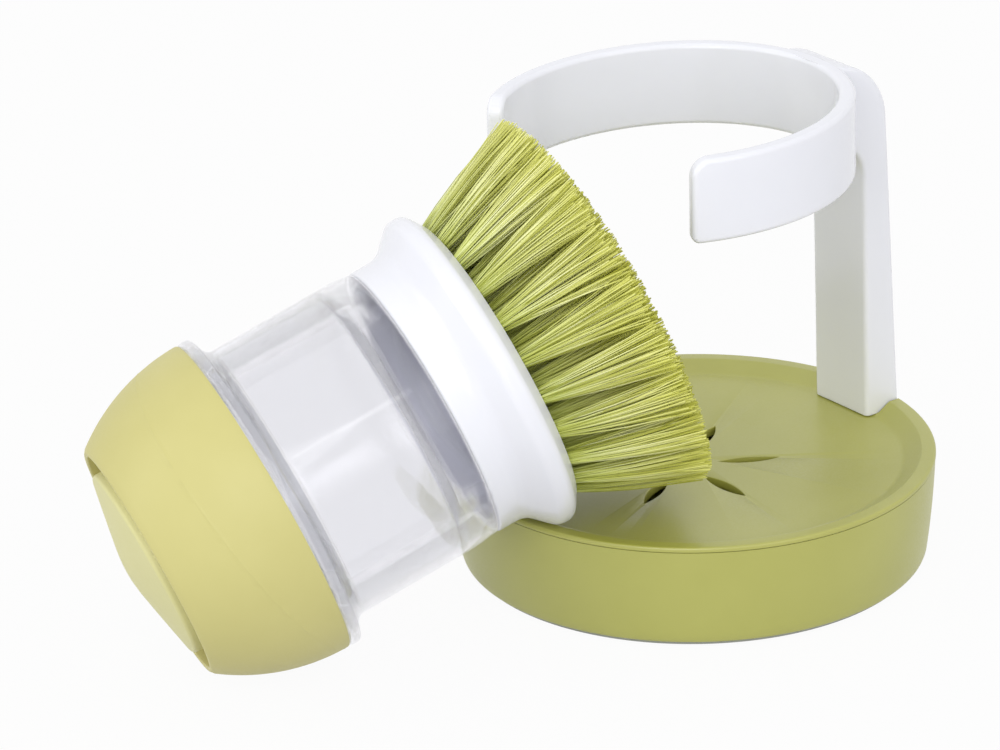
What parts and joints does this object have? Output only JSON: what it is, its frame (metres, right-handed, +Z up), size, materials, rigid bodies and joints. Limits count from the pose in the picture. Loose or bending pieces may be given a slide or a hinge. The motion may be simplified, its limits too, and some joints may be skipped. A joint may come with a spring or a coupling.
{
  "type": "pot brush",
  "caption": "Palm-held soap-dispensing pot brush with a clear bottle, lying on its drip-tray stand with a C-shaped holder.",
  "frame": {"origin": "centre of the stand's foot pad, on the surface it stands on", "axes": "+Z up; +Y from the tray's centre towards the holder's post; the brush lies at -Y with its cap on the table"},
  "size_m": [0.1, 0.1823, 0.1026],
  "materials": {
    "green_tray": "moulded polypropylene, fine matt grain",
    "green_cap": "soft-touch satin",
    "white_abs": "glossy moulded ABS",
    "white_inner": "moulded, unpolished",
    "clear_bottle": "clear moulded copolyester",
    "bristle_nylon": "extruded nylon filament",
    "silicone": "translucent moulded silicone",
    "grey_rubber": "moulded thermoplastic rubber",
    "steel": "stainless screw"
  },
  "bodies": {
    "base": {"base_cup": "green_tray", "foot_pad": "grey_rubber"},
    "stand_top": {"drip_tray": "green_tray", "holder": "white_abs", "holder_screw_left": "steel", "holder_screw_right": "steel"},
    "brush": {"bottle": "clear_bottle", "head_seal": "silicone", "head_shell": "white_abs", "bristle_plate": "white_inner", "outlet_valve": "silicone", "valve_retainer": "white_inner", "bristles_inner": "bristle_nylon", "bristles_middle": "bristle_nylon", "bristles_outer": "bristle_nylon"},
    "cap_seat": {"cap_gasket": "silicone"},
    "cap": {"cap_shell": "green_cap", "cap_core": "white_inner", "clamp_ring": "white_inner", "diaphragm": "silicone"},
    "push_button": {"button": "green_cap"}
  },
  "joints": [
    {"name": "stand_lift", "type": "slide", "parent": "base", "child": "stand_top", "axis": [0, 0, 1], "range_m": [0, 0.05]},
    {"name": "brush_lift", "type": "slide", "parent": "stand_top", "child": "brush", "axis": [0.5495, -0.5495, 0.6294], "range_m": [0, 0.06]},
    {"name": "cap_rise", "type": "slide", "parent": "brush", "child": "cap_seat", "axis": [-0.2705, -0.8848, -0.3793], "range_m": [0, 0.003]},
    {"name": "cap_turn", "type": "hinge", "parent": "cap_seat", "child": "cap", "pos_m": [-0.01525, -0.09777, 0.03479], "axis": [-0.2705, -0.8848, -0.3793], "range_deg": [0, 360]},
    {"name": "button_press", "type": "slide", "parent": "cap", "child": "push_button", "axis": [0.2705, 0.8848, 0.3793], "range_m": [0, 0.0035], "stiffness_N_per_m": 400, "deforming": ["diaphragm"]}
  ],
  "couplings": [
    {"joint": "cap_turn", "follows": "cap_rise", "rad_per_m": 2094.4}
  ]
}
